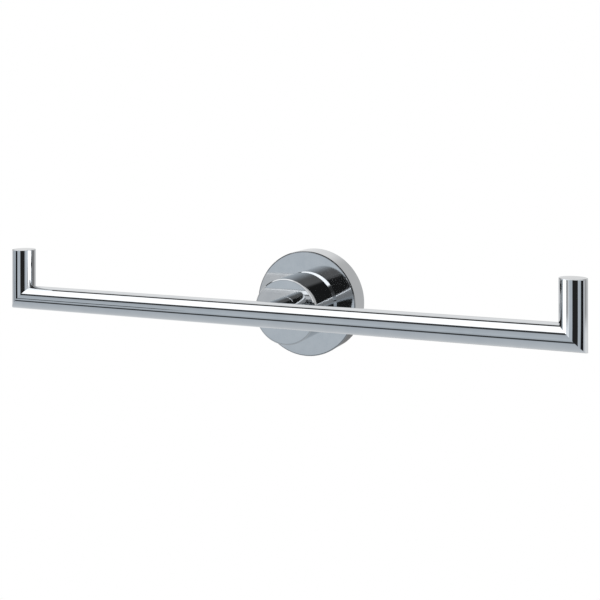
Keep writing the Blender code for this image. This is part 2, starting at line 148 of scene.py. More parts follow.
# Studio: what the metal mirrors. Its tones run in bands round the bar's direction, as in a
# long light tent: roll 0 is level towards the room, 90 straight up, 180 level at the wall.
# Windows are parts of the room with a tone of their own, and a later one covers an earlier one.
# Each range is (low, high, softness) of one measure of the mirrored direction: azimuth in
# degrees from straight into the room, its share to the right, up or back to the wall, or how
# many mirrors it has met. An end at 2 or -2 leaves a share open.
oneMirror = (0, 1.5, 0.1)
moreMirrors = (1.5, 9, 0.1)
studio = {
    "bands": [                     # (roll in degrees, brightness, share of the cool tint)
        (-180, 0.85, 0), (-150, 0.86, 0.2), (-120, 0.78, 0.5), (-41, 0.66, 1), (-39, 0.06, 1),
        (-28, 0.06, 1), (-26, 0.62, 1), (-16, 0.68, 1), (-10, 0.75, 1), (-4, 0.70, 1),
        (23, 0.64, 1), (25, 0.06, 1), (39, 0.05, 1), (40.2, 1.71, 0), (93, 1.71, 0),
        (94.2, 0.05, 0), (109, 0.06, 0), (111, 1.05, 0), (145, 1.1, 0), (158, 0.88, 0),
        (180, 0.85, 0),
    ],
    "coolTint": "#EEF7FF",
    "windows": [
        # the bright band is softer to the right of the bar's own mirrored directions
        {"tone": 1.25, "right": (-0.07, 2.0, 0.03), "up": (0.3, 2.0, 0.03),
         "back": (-0.80, 0.05, 0.02), "mirrors": oneMirror},
        # the dark room behind the camera, as a single mirror shows it
        {"tone": 0.025, "azimuth": (1.0, 44.0, 1.7), "up": (-0.42, 0.45, 0.03),
         "mirrors": oneMirror},
        # the same room deepening from left to right, in a mirror's mirror
        {"tone": 0.175, "azimuth": (-17.5, 60.0, 9.0), "up": (0.05, 0.6, 0.1),
         "mirrors": moreMirrors},
        {"tone": 0.02, "azimuth": (4.8, 44.0, 3.0), "up": (-0.42, 0.6, 0.1),
         "mirrors": moreMirrors},
        # the bright band is brighter in a mirror's mirror, and ends sooner to the right
        {"tone": 2.45, "right": (-0.56, 0.60, 0.03), "up": (0.55, 2.0, 0.02),
         "back": (-0.74, 0.05, 0.02), "mirrors": moreMirrors},
        {"tone": 0.05, "right": (0.63, 2.0, 0.03), "up": (0.35, 2.0, 0.05),
         "mirrors": moreMirrors},
        # three parts of the room on the left, in a mirror's mirror: two even out the bar's image
        # beside the neck, and the third ends the bright crescent behind the boss
        {"tone": 1.08, "right": (-0.430, -0.379, 0.006), "back": (-0.605, 2.0, 0.012),
         "mirrors": moreMirrors},
        {"tone": 1.08, "right": (-0.430, -0.379, 0.006), "up": (0.3, 0.625, 0.012),
         "back": (-2.0, -0.60, 0.03), "mirrors": moreMirrors},
        {"tone": 0.03, "right": (-2.0, -0.55, 0.03), "up": (0.1, 0.5, 0.05),
         "mirrors": moreMirrors},
        # a dark part of the wall far to the left, which the rosette's chamfer mirrors as a line
        {"tone": 0.06, "right": (-2.0, -0.625, 0.01), "up": (0.1, 0.8, 0.05),
         "back": (0.3, 0.75, 0.05), "mirrors": oneMirror},
        # the wall to the right, and two dark parts of it
        {"tone": 0.60, "right": (-0.03, 2.0, 0.15), "back": (0.5, 2.0, 0.1)},
        {"tone": 0.22, "right": (-0.33, 0.3, 0.1), "up": (-0.5, -0.27, 0.03),
         "back": (0.5, 2.0, 0.1)},
        {"tone": 0.05, "right": (0.66, 2.0, 0.06), "up": (0.1, 2.0, 0.1),
         "back": (0.05, 0.7, 0.05)},
        # dark uprights beside the camera and at the wall, mirrored as lines in the posts
        {"tone": 0.01, "azimuth": (-51.5, -29.5, 1.2), "up": (-0.175, -0.095, 0.01),
         "mirrors": oneMirror},
        {"tone": 0.01, "azimuth": (69.5, 94.0, 1.2), "up": (-0.215, -0.125, 0.01),
         "mirrors": oneMirror},
        {"tone": 0.24, "azimuth": (108.0, 152.0, 4.0), "up": (-0.175, -0.095, 0.01),
         "mirrors": oneMirror},
    ],
    "background": 1.0,
}


def makeWorld(spec):
    world = bpy.data.worlds.new("studio")
    world.use_nodes = True
    tree = world.node_tree
    tree.nodes.clear()
    path = addNode(tree, "ShaderNodeLightPath")
    gaze = addNode(tree, "ShaderNodeTexCoord")
    along = addNode(tree, "ShaderNodeSeparateXYZ", {0: gaze.outputs["Generated"]})
    towards = addMath(tree, "MULTIPLY", along.outputs["Y"], -1.0)
    roll = addMath(tree, "ARCTAN2", along.outputs["Z"], towards)
    turn = addMath(tree, "ARCTAN2", along.outputs["X"], towards)
    measures = {
        "azimuth": addMath(tree, "MULTIPLY", turn, 180 / math.pi), "right": along.outputs["X"],
        "up": along.outputs["Z"], "back": along.outputs["Y"],
        "mirrors": path.outputs["Glossy Depth"],
    }
    share = addNode(tree, "ShaderNodeMapRange", {0: roll, 1: -math.pi, 2: math.pi})
    bands = addNode(tree, "ShaderNodeValToRGB", {0: share.outputs[0]})
    tint = np.array(linearColour(spec["coolTint"])[:3])
    fillRamp(bands, [
        ((angle + 180) / 360, (*(tone * (1 - cool + cool * tint)).tolist(), 1.0))
        for angle, tone, cool in spec["bands"]])
    colour = bands.outputs[0]
    for window in spec["windows"]:
        mask = 1.0
        for measure in [name for name in measures if name in window]:
            low, high, soft = window[measure]
            for edge, sign in ((low, 1), (high, -1)):
                side = addNode(tree, "ShaderNodeMapRange", {
                    0: measures[measure], 1: edge - sign * soft, 2: edge + sign * soft},
                    interpolation_type="SMOOTHSTEP")
                mask = addMath(tree, "MULTIPLY", mask, side.outputs[0])
        shaded = addNode(tree, "ShaderNodeMix", {"Factor": mask}, data_type="RGBA")
        tree.links.new(colour, shaded.inputs[6])
        shaded.inputs[7].default_value = (window["tone"], window["tone"], window["tone"], 1.0)
        colour = shaded.outputs[2]
    tent = addNode(tree, "ShaderNodeBackground", {"Color": colour, "Strength": 1.0})
    plain = addNode(tree, "ShaderNodeBackground", {
        "Color": (1, 1, 1, 1), "Strength": spec["background"]})
    choice = addNode(tree, "ShaderNodeMixShader", {
        0: path.outputs["Is Camera Ray"], 1: tent.outputs[0], 2: plain.outputs[0]})
    addNode(tree, "ShaderNodeOutputWorld", {0: choice.outputs[0]})
    bpy.context.scene.world = world


makeWorld(studio)


# Lamps: one long softbox over the holder and towards the room, and small white or grey strips
# at each post that light that post alone. A strip stands at a bearing from its post: 0 is
# straight into the room and 90 along +x.
softbox = {"place": (-0.55, -0.635, 1.0), "size": (3.3, 1.27), "watts": 22.5}
strips = [
    {"post": "Left", "bearing": 88.5, "wide": 27.0, "away": 0.035, "tall": 0.05, "glow": 1.9},
    {"post": "Left", "bearing": 71.0, "wide": 18.0, "away": 0.10, "tall": 0.08, "glow": 0.44},
    {"post": "Right", "bearing": -62.0, "wide": 29.0, "away": 0.085, "tall": 0.07, "glow": 1.9},
    {"post": "Right", "bearing": -35.0, "wide": 23.0, "away": 0.10, "tall": 0.08, "glow": 0.50},
    {"post": "Right", "bearing": 136.0, "wide": 44.0, "away": 0.10, "tall": 0.08, "glow": 0.38},
]
postSides = {"Left": -1, "Right": 1}


def makeLamp(name, size, watts, place, turn):
    data = bpy.data.lights.new(name, "AREA")
    data.shape = "RECTANGLE"
    data.size, data.size_y = size
    data.energy = watts
    item = bpy.data.objects.new(name, data)
    item.location = place
    item.rotation_euler = turn
    item.visible_camera = False
    bpy.context.scene.collection.objects.link(item)
    return item


# A strip's place = post + away * (sin bearing, -cos bearing, 0). Lamps shine along their local
# -z, so it is turned upright and then to its post.
def makeStrip(spec, pieces):
    bearing = math.radians(spec["bearing"])
    place = (postSides[spec["post"]] * postOffset + spec["away"] * math.sin(bearing),
             barCentre[1] - spec["away"] * math.cos(bearing), barCentre[2])
    name = "%s%d" % (spec["post"], abs(spec["bearing"]))
    width = spec["away"] * math.radians(spec["wide"])
    watts = spec["glow"] * math.pi * width * spec["tall"]
    strip = makeLamp("strip" + name, (width, spec["tall"]), watts, place,
                     (math.radians(90), 0, bearing))
    lit = bpy.data.collections.new("lit" + name)
    for piece in pieces:
        lit.objects.link(piece)
    strip.light_linking.receiver_collection = lit


box = makeLamp("softbox", softbox["size"], softbox["watts"], softbox["place"], (0, 0, 0))
box.visible_glossy = False               # the tent's bright band stands for it in the metal


# Floor: pale, far below as under a holder on its wall, white to the camera
floor = {"drop": 0.75, "half": 6.0, "colour": "#E4E6E8", "grain": 4 * mm, "shade": 0.97}


def makeFloor(spec):
    side = spec["half"]
    corners = np.array([(-1, -1), (1, -1), (1, 1), (-1, 1)]) * side
    mesh = bpy.data.meshes.new("paleFloor")
    mesh.from_pydata([(x, y, -spec["drop"]) for x, y in corners.tolist()], [], [(0, 1, 2, 3)])
    material, tree = newMaterial("matt pale floor")
    place = addNode(tree, "ShaderNodeTexCoord")
    speck = addNode(tree, "ShaderNodeTexNoise", {
        "Vector": place.outputs["Object"], "Scale": 1 / spec["grain"]})
    tone = addNode(tree, "ShaderNodeValToRGB", {0: speck.outputs[0]})
    colour = linearColour(spec["colour"])
    fillRamp(tone, [(0.3, tuple(spec["shade"] * c for c in colour)), (0.7, colour)])
    matt = addNode(tree, "ShaderNodeBsdfDiffuse", {"Color": tone.outputs[0]})
    white = addNode(tree, "ShaderNodeEmission", {"Color": (1, 1, 1, 1), "Strength": 1.0})
    path = addNode(tree, "ShaderNodeLightPath")
    choice = addNode(tree, "ShaderNodeMixShader", {
        0: path.outputs["Is Camera Ray"], 1: matt.outputs[0], 2: white.outputs[0]})
    addNode(tree, "ShaderNodeOutputMaterial", {0: choice.outputs[0]})
    mesh.materials.append(material)
    item = bpy.data.objects.new("paleFloor", mesh)
    item.visible_glossy = False          # the tent's lower bands stand for it in the metal
    bpy.context.scene.collection.objects.link(item)


makeFloor(floor)
print("studio lit")


# Materials. Each starts from the real finish.
# Bright chrome over polished brass and zinc: mirror sharp, with the faint undulation that
# polishing leaves and a little haze in patches
chrome = {"colour": "#D1D3D5", "shade": "#C9CCCF", "roughness": (0.022, 0.05), "haze": 9 * mm,
          "undulation": 14 * mm, "undulationHeight": 0.0035 * mm, "lap": 0.25 * mm,
          "lapHeight": 0.00012 * mm}
# The same plate over faces that were turned flat on a lathe: fine tool marks under it blur what
# is far from the face and leave what touches it sharp
facedChrome = dict(chrome, roughness=(0.055, 0.075), haze=5 * mm, undulationHeight=0.002 * mm)
bossChrome = dict(facedChrome, roughness=(0.05, 0.07))
# Painted shade: the ring at each turned front edge gets a darker, greyer plate colour, which draws
# a fine dark line round each face; the rosette's ring is also duller
bossShadeLineChrome = dict(bossChrome, colour="#B9BBBD", shade="#B2B5B8")
coverShadeLineChrome = dict(facedChrome, colour="#8F9193", shade="#86898C", roughness=(0.08, 0.12))


def makeChrome(name, spec):
    material, tree = newMaterial(name)
    place = addNode(tree, "ShaderNodeTexCoord").outputs["Object"]
    haze = addNode(tree, "ShaderNodeTexNoise", {
        "Vector": place, "Scale": 1 / spec["haze"], "Detail": 3.0, "Roughness": 0.6})
    rough = addNode(tree, "ShaderNodeMapRange", {
        0: haze.outputs[0], 1: 0.3, 2: 0.7, 3: spec["roughness"][0], 4: spec["roughness"][1]})
    tone = addNode(tree, "ShaderNodeValToRGB", {0: haze.outputs[0]})
    fillRamp(tone, [(0.3, linearColour(spec["colour"])), (0.75, linearColour(spec["shade"]))])
    wave = addNode(tree, "ShaderNodeTexNoise", {
        "Vector": place, "Scale": 1 / spec["undulation"], "Detail": 1.0})
    lap = addNode(tree, "ShaderNodeTexNoise", {
        "Vector": place, "Scale": 1 / spec["lap"], "Detail": 2.0})
    swell = addNode(tree, "ShaderNodeBump", {
        "Strength": 1.0, "Distance": spec["undulationHeight"], "Height": wave.outputs[0]})
    fine = addNode(tree, "ShaderNodeBump", {
        "Strength": 1.0, "Distance": spec["lapHeight"], "Height": lap.outputs[0],
        "Normal": swell.outputs[0]})
    shader = addNode(tree, "ShaderNodeBsdfPrincipled", {
        "Base Color": tone.outputs[0], "Metallic": 1.0, "Roughness": rough.outputs[0],
        "Normal": fine.outputs[0]})
    addNode(tree, "ShaderNodeOutputMaterial", {0: shader.outputs[0]})
    return material


# A worked metal: base tone, patches of a second tone, and a grain in its roughness and relief
def makeMetal(name, colour, patch, roughness, patchSize, grainSize, grainHeight, stretch=(1, 1, 1)):
    material, tree = newMaterial(name)
    place = addNode(tree, "ShaderNodeTexCoord").outputs["Object"]
    cloud = addNode(tree, "ShaderNodeTexNoise", {
        "Vector": place, "Scale": 1 / patchSize, "Detail": 4.0, "Roughness": 0.65})
    tone = addNode(tree, "ShaderNodeValToRGB", {0: cloud.outputs[0]})
    fillRamp(tone, [(0.35, linearColour(colour)), (0.7, linearColour(patch))])
    drawn = addNode(tree, "ShaderNodeMapping", {"Vector": place, "Scale": stretch})
    grain = addNode(tree, "ShaderNodeTexNoise", {
        "Vector": drawn.outputs[0], "Scale": 1 / grainSize, "Detail": 3.0, "Roughness": 0.7})
    rough = addNode(tree, "ShaderNodeMapRange", {
        0: grain.outputs[0], 1: 0.25, 2: 0.75, 3: roughness[0], 4: roughness[1]})
    relief = addNode(tree, "ShaderNodeBump", {
        "Strength": 1.0, "Distance": grainHeight, "Height": grain.outputs[0]})
    shader = addNode(tree, "ShaderNodeBsdfPrincipled", {
        "Base Color": tone.outputs[0], "Metallic": 1.0, "Roughness": rough.outputs[0],
        "Normal": relief.outputs[0]})
    addNode(tree, "ShaderNodeOutputMaterial", {0: shader.outputs[0]})
    return material


# Injection-moulded nylon: slightly waxy, faintly mottled by the mould's spark-eroded skin
nylon = {"colour": "#A9ACAE", "shade": "#9DA0A3", "roughness": (0.42, 0.6), "mottle": 2.5 * mm,
         "skin": 0.35 * mm, "skinHeight": 0.01 * mm}


def makeNylon(name, spec):
    material, tree = newMaterial(name)
    place = addNode(tree, "ShaderNodeTexCoord").outputs["Object"]
    mottle = addNode(tree, "ShaderNodeTexNoise", {
        "Vector": place, "Scale": 1 / spec["mottle"], "Detail": 3.0})
    tone = addNode(tree, "ShaderNodeValToRGB", {0: mottle.outputs[0]})
    fillRamp(tone, [(0.35, linearColour(spec["colour"])), (0.7, linearColour(spec["shade"]))])
    skin = addNode(tree, "ShaderNodeTexNoise", {
        "Vector": place, "Scale": 1 / spec["skin"], "Detail": 2.0})
    rough = addNode(tree, "ShaderNodeMapRange", {
        0: skin.outputs[0], 1: 0.3, 2: 0.7, 3: spec["roughness"][0], 4: spec["roughness"][1]})
    relief = addNode(tree, "ShaderNodeBump", {
        "Strength": 1.0, "Distance": spec["skinHeight"], "Height": skin.outputs[0]})
    shader = addNode(tree, "ShaderNodeBsdfPrincipled", {
        "Base Color": tone.outputs[0], "Roughness": rough.outputs[0], "IOR": 1.53,
        "Normal": relief.outputs[0]})
    addNode(tree, "ShaderNodeOutputMaterial", {0: shader.outputs[0]})
    return material


polishedChrome = makeChrome("polished chrome plate", chrome)
latheFacedChrome = makeChrome("lathe-faced chrome plate", facedChrome)
bossFaceChrome = makeChrome("fine-turned chrome plate", bossChrome)
# painted shade: a darker plate colour draws a fine dark line round the boss's front face
bossShadeLine = makeChrome("fine-turned chrome plate, painted shade line", bossShadeLineChrome)
# painted shade: a much darker plate colour draws a dark line round the rosette's front face
coverShadeLine = makeChrome("lathe-faced chrome plate, painted shade line", coverShadeLineChrome)
castZinc = makeMetal("die-cast zinc, barrel finished", "#BBBDBF", "#A6A9AC", (0.34, 0.55),
                     patchSize=6 * mm, grainSize=0.5 * mm, grainHeight=0.006 * mm)
zincSteel = makeMetal("bright zinc-plated steel", "#C2C5C6", "#B3B8BC", (0.16, 0.34),
                      patchSize=3 * mm, grainSize=0.3 * mm, grainHeight=0.002 * mm)
stainlessSteel = makeMetal("turned stainless steel", "#B9B7B3", "#A8A7A4", (0.2, 0.36),
                           patchSize=4 * mm, grainSize=0.25 * mm, grainHeight=0.002 * mm)
turnedBrass = makeMetal("turned brass, unpolished", "#C8A968", "#B08F52", (0.24, 0.42),
                        patchSize=4 * mm, grainSize=0.2 * mm, grainHeight=0.002 * mm,
                        stretch=(1, 6, 6))
mouldedNylon = makeNylon("moulded grey nylon", nylon)
print("materials made")


# Shapes. An axis is its direction and two directions across it, right-handed.
axes = {
    "room": np.array([(0, -1, 0), (1, 0, 0), (0, 0, 1)], float),
    "up": np.array([(0, 0, 1), (1, 0, 0), (0, 1, 0)], float),
    "down": np.array([(0, 0, -1), (1, 0, 0), (0, -1, 0)], float),
}
sharpDegrees = 32        # an edge that turns more than this stays sharp
boreSteps = 48


def spokeAngles(steps):
    return np.arange(steps) * turnAround / steps


# point = centre + radius * (cos a * side + sin a * up) + distance * along, for whole arrays of
# radius and distance with one row per ring and one column per angle
def turned(radius, distance, steps, centre, axis):
    along, side, up = axes[axis]
    angles = spokeAngles(steps)[:, None]
    spokes = np.cos(angles) * side + np.sin(angles) * up
    size = (len(radius), steps)
    rings = np.broadcast_to(np.asarray(radius, float), size)[..., None] * spokes
    return np.asarray(centre) + rings + np.broadcast_to(distance, size)[..., None] * along


# A profile's corners (radius, distance, bend) as two columns. A corner with a bend becomes an
# arc that touches both its edges, and a point just past each end keeps the flats flat.
def bent(corners, loop, arcSteps=6, support=0.08 * mm):
    points = np.array([corner[:2] for corner in corners], float)
    bends = [corner[2] if len(corner) > 2 else 0 for corner in corners]
    rows = []
    for index, (point, bend) in enumerate(zip(points, bends)):
        if not bend:
            rows.append(point[None])
            continue
        before, after = points[index - 1] - point, points[(index + 1) % len(points)] - point
        before, after = before / np.linalg.norm(before), after / np.linalg.norm(after)
        half = math.acos(np.clip(before @ after, -1, 1)) / 2
        reach = bend / math.tan(half)
        middle = point + (before + after) / np.linalg.norm(before + after) * bend / math.sin(half)
        start, end = point + before * reach - middle, point + after * reach - middle
        sweep = math.pi - 2 * half
        share = np.linspace(0, 1, arcSteps + 1)[:, None]
        arc = middle + (np.sin((1 - share) * sweep) * start
                        + np.sin(share * sweep) * end) / math.sin(sweep)
        rows += [(point + before * (reach + support))[None], arc,
                 (point + after * (reach + support))[None]]
    table = np.concatenate(rows)
    return table[:, :1], table[:, 1:]


# A mesh from rings of points (row, step, xyz). Each row is a closed ring. A row whose points
# fall together is a pole. With loop the last row joins the first.
def ringMesh(name, grid, loop=False):
    rows, steps = grid.shape[:2]
    ids = np.arange(rows * steps).reshape(rows, steps)
    together = 1e-9
    poles = np.ptp(grid, axis=1).max(axis=1) < together
    ids[poles] = ids[poles][:, :1]
    below, above = (ids, np.roll(ids, -1, axis=0)) if loop else (ids[:-1], ids[1:])
    quads = np.stack([below, np.roll(below, -1, 1), np.roll(above, -1, 1), above], -1)
    quads = quads.reshape(-1, 4)
    lowTip, highTip = quads[:, 0] == quads[:, 1], quads[:, 2] == quads[:, 3]
    full = quads[~lowTip & ~highTip]
    tips = np.concatenate([quads[lowTip & ~highTip][:, [0, 2, 3]],
                           quads[highTip & ~lowTip][:, [0, 1, 2]]])
    points = grid.reshape(-1, 3)
    triangles = np.concatenate([full[:, [0, 1, 2]], full[:, [0, 2, 3]], tips])
    a, b, c = (points[triangles[:, corner]] - points.mean(0) for corner in range(3))
    if (a * np.cross(b, c)).sum() < 0:          # faces point outwards
        full, tips = full[:, ::-1], tips[:, ::-1]
    corners = np.concatenate([full.ravel(), tips.ravel()])
    sizes = np.concatenate([np.full(len(full), 4), np.full(len(tips), 3)])
    used, corners = np.unique(corners, return_inverse=True)
    mesh = bpy.data.meshes.new(name)
    mesh.vertices.add(len(used))
    mesh.vertices.foreach_set("co", points[used].astype(np.float32).ravel())
    mesh.loops.add(len(corners))
    mesh.loops.foreach_set("vertex_index", corners.astype(np.int32).ravel())
    mesh.polygons.add(len(sizes))
    mesh.polygons.foreach_set("loop_start", (np.cumsum(sizes) - sizes).astype(np.int32))
    mesh.update(calc_edges=True)
    mesh.validate()
    mesh.shade_smooth()
    mesh.set_sharp_from_angle(angle=math.radians(sharpDegrees))
    return mesh


# A mesh from rows of (radius, distance) along an axis, each a number or an array over the angles
def tableMesh(name, rows, steps, centre, axis, loop=False):
    radius, distance = (np.stack([np.broadcast_to(row[column], (steps,)) for row in rows])
                        for column in (0, 1))
    return ringMesh(name, turned(radius, distance, steps, centre, axis), loop)


# A ring drawn together at its middle, which closes an end
def pole(ring):
    return ring * 0 + ring.mean(0)


# Puts a mesh in the scene as a finished piece on its body, for the nodes it stands for
def addPiece(name, mesh, material, slot, body, *nodes):
    mesh.materials.clear()
    mesh.materials.append(material)
    item = bpy.data.objects.new(name, mesh)
    bpy.context.scene.collection.objects.link(item)
    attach(item, body)
    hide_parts(*nodes)
    return item


# Gives the faces that look straight along an axis a second material
def finishFlats(item, axis, material):
    mesh = item.data
    mesh.materials.append(material)
    normals = np.empty(len(mesh.polygons) * 3, np.float32)
    mesh.polygons.foreach_get("normal", normals)
    straight = 0.9999
    flat = normals.reshape(-1, 3) @ axes[axis][0] > straight
    mesh.polygons.foreach_set("material_index", flat.astype(np.int32))


# Gives the ring at a round piece's front edge, reach deep and band wide, a third material, whose
# darker plate colour paints a line of shade there
def paintEdgeShade(item, radius, front, reach, band, material):
    mesh = item.data
    mesh.materials.append(material)
    centres = np.empty(len(mesh.polygons) * 3, np.float32)
    mesh.polygons.foreach_get("center", centres)
    x, y, z = centres.reshape(-1, 3).T
    index = np.empty(len(mesh.polygons), np.int32)
    mesh.polygons.foreach_get("material_index", index)
    index[(np.hypot(x, z) > radius - band) & (-y > front - reach)] = 2
    mesh.polygons.foreach_set("material_index", index)


# The mesh left when other meshes are cut out of one
def cutMesh(name, mesh, tools):
    item = bpy.data.objects.new(name, mesh)
    bpy.context.scene.collection.objects.link(item)
    helpers = []
    for tool in tools:
        helper = bpy.data.objects.new("cutter", tool)
        bpy.context.scene.collection.objects.link(helper)
        helpers.append(helper)
        cut = item.modifiers.new("cut", "BOOLEAN")
        cut.operation, cut.solver, cut.object = "DIFFERENCE", "EXACT", helper
    bpy.context.view_layer.update()
    graph = bpy.context.evaluated_depsgraph_get()
    result = bpy.data.meshes.new_from_object(item.evaluated_get(graph))
    for helper in [item] + helpers:
        bpy.data.objects.remove(helper)
    result.name = name
    result.shade_smooth()
    result.set_sharp_from_angle(angle=math.radians(sharpDegrees))
    return result


# A plain round cutter along an axis
def boreMesh(radius, start, end, centre, axis):
    rows = [(0, start), (radius, start), (radius, end), (0, end)]
    return tableMesh("bore", rows, boreSteps, centre, axis)


# A block cutter between two corners
def blockMesh(low, high):
    low, high = np.array(low), np.array(high)
    square = np.array([(0, 0), (1, 0), (1, 1), (0, 1)]) * (high - low)[:2] + low[:2]
    ends = [np.column_stack([square, np.full(4, z)]) for z in (low[2], high[2])]
    return ringMesh("block", np.stack([pole(ends[0]), *ends, pole(ends[1])]))


# A round node's rear and front depth from the wall, its outer radius and its height
def roundNode(node):
    low, high = nodeBox(node)
    return -high[1], -low[1], (high[0] - low[0]) / 2, (low[2] + high[2]) / 2


# The hole of the dowel that keys the boss to the rosette
dowelGap = 0.2 * mm


def dowelBore():
    rear, front, radius, height = roundNode("boss_dowel")
    return boreMesh(radius + dowelGap, rear - overrun, front + dowelGap, (0, 0, height), "room")


# Bar, posts and caps: 12 mm tube mitred at 45 degrees, brazed, polished over and plated, so the
# joints close with no gap. The mitre is where distance along the bar = post offset - height.
bar = {"steps": 160, "rows": 9, "postRows": 5, "wall": 1.0 * mm, "capEdge": 0.35 * mm,
       "spigot": 4.0 * mm, "spigotGap": 0.1 * mm}


def makeBar(spec):
    steps = spec["steps"]
    angles = spokeAngles(steps)
    centre = np.array([0, barCentre[1], barCentre[2]])
    bore = barRadius - spec["wall"]
    shares = np.linspace(-1, 1, spec["rows"])[:, None]
    sheets = []
    for radius, order in ((barRadius, 1), (bore, -1)):
        lift = radius * np.sin(angles)
        x = shares[::order] * (postOffset - lift)
        y = np.broadcast_to(radius * np.cos(angles), x.shape)
        z = np.broadcast_to(lift, x.shape)
        sheets.append(np.stack([x, y, z], -1))
    mesh = ringMesh("barTube", centre + np.concatenate(sheets), loop=True)
    addPiece("barTube", mesh, polishedChrome, "chrome_plate", "holder", "bar_tube")


# One post and its cap. Its mitre ring has the same points as the bar's.
def makePost(spec, name, side, postNode, capNode):
    steps = spec["steps"]
    angles = spokeAngles(steps)
    centre = np.array([side * postOffset, barCentre[1], barCentre[2]])
    bore = barRadius - spec["wall"]
    height = capSeat - barCentre[2]
    shares = np.linspace(0, 1, spec["postRows"])[:, None]
    sheets = []
    for radius, order in ((barRadius, 1), (bore, -1)):
        lean = -radius * np.sin(angles)               # how far out from the post's axis
        z = -lean + shares[::order] * (height + lean)
        x = np.broadcast_to(side * lean, z.shape)
        y = np.broadcast_to(radius * np.cos(angles), z.shape)
        sheets.append(np.stack([x, y, z], -1))
    mesh = ringMesh("post" + name, centre + np.concatenate(sheets), loop=True)
    post = addPiece("post" + name, mesh, polishedChrome, "chrome_plate", "holder", postNode)
    top = postTop - barCentre[2]
    spigot = bore - spec["spigotGap"]
    radius, distance = bent([
        (0, top), (barRadius, top, spec["capEdge"]), (barRadius, height), (spigot, height),
        (spigot, height - spec["spigot"]), (0, height - spec["spigot"]),
    ], loop=False)
    cap = ringMesh("cap" + name, turned(radius, distance, steps, centre, "up"))
    lid = addPiece("cap" + name, cap, polishedChrome, "chrome_plate", "holder", capNode)
    finishFlats(lid, "up", latheFacedChrome)
    return [post, lid]


makeBar(bar)
for name, side in postSides.items():
    lower = name.lower()
    pieces = makePost(bar, name, side, "post_" + lower, "post_cap_" + lower)
    for spec in strips:
        if spec["post"] == name:
            makeStrip(spec, pieces)
print("bar and posts made")


# Neck: a spigot whose front is saddle-cut to the bar: depth = bar depth - sqrt(R*R - height*height)
neck = {"steps": 120, "rim": 0.25 * mm, "shoulder": 0.7 * mm, "rootDepth": 2.0 * mm,
        "bore": 2.8 * mm}


def makeNeck(spec):
    steps, bore = spec["steps"], spec["bore"]
    radius = (neckHigh[2] - neckLow[2]) / 2
    root, foot = radius - spec["shoulder"], bossFront - spec["rootDepth"]

    def saddle(reach):
        lift = reach * np.sin(spokeAngles(steps))
        return -barCentre[1] - np.sqrt(barRadius ** 2 - lift ** 2)

    rows = [
        (radius, saddle(radius)), (radius, bossFront + spec["rim"]),
        (radius - spec["rim"], bossFront), (root, bossFront), (root, foot), (bore, foot),
        (bore, saddle(bore)),
    ]
    mesh = tableMesh("barNeck", rows, steps, (0, 0, neckHeight), "room", loop=True)
    addPiece("barNeck", mesh, polishedChrome, "chrome_plate", "holder", "neck")


makeNeck(neck)


# Boss: turned cylinder with a chamfer at each end; the rear one is steep, and the polished
# rosette mirrors it as a bright crescent
boss = {"steps": 256, "frontChamfer": (0.5 * mm, 0.5 * mm), "rearChamfer": (0.80 * mm, 2.2 * mm),
        "edge": 0.08 * mm, "edgeBand": 0.3 * mm, "cavity": 10.0 * mm, "frontWall": 6.0 * mm,
        "recess": 5.1 * mm, "recessDepth": 2.3 * mm, "bolt": 2.8 * mm}


def makeBoss(spec):
    radius = (bossHigh[0] - bossLow[0]) / 2
    rear = rosetteFront
    inFront, alongFront = spec["frontChamfer"]
    inRear, alongRear = spec["rearChamfer"]
    edge = spec["edge"]
    r, d = bent([
        (0, bossFront), (radius - inFront - spec["edgeBand"], bossFront),
        (radius - inFront, bossFront, edge), (radius, bossFront - alongFront, edge),
        (radius, rear + alongRear, edge), (radius - inRear, rear, edge / 2), (spec["cavity"], rear),
        (spec["cavity"], bossFront - spec["frontWall"]), (0, bossFront - spec["frontWall"]),
    ], loop=False)
    body = ringMesh("roundBoss", turned(r, d, spec["steps"], (0, 0, 0), "room"))
    middle = (0, 0, neckHeight)
    recess = boreMesh(spec["recess"], bossFront - spec["recessDepth"], bossFront + overrun,
                      middle, "room")
    bolt = boreMesh(spec["bolt"], rear, bossFront, middle, "room")
    mesh = cutMesh("roundBoss", body, [recess, bolt, dowelBore()])
    piece = addPiece("roundBoss", mesh, polishedChrome, "chrome_plate", "holder", "boss")
    finishFlats(piece, "room", bossFaceChrome)
    # painted shade: the ring at the boss's front edge gets the darker plate colour
    paintEdgeShade(piece, radius, bossFront, alongFront, inFront + spec["edgeBand"], bossShadeLine)


makeBoss(boss)


# Rosette: a round cup with a steep chamfer at its front edge, tapped below for the grub screw
rosette = {"steps": 320, "chamfer": (0.34 * mm, 0.59 * mm), "edge": 0.1 * mm, "edgeBand": 0.3 * mm,
           "rim": 0.3 * mm, "wall": 3.0 * mm, "frontWall": 2.1 * mm, "bolt": 2.8 * mm,
           "grubBore": 2.05 * mm, "grubMouth": 2.4 * mm}


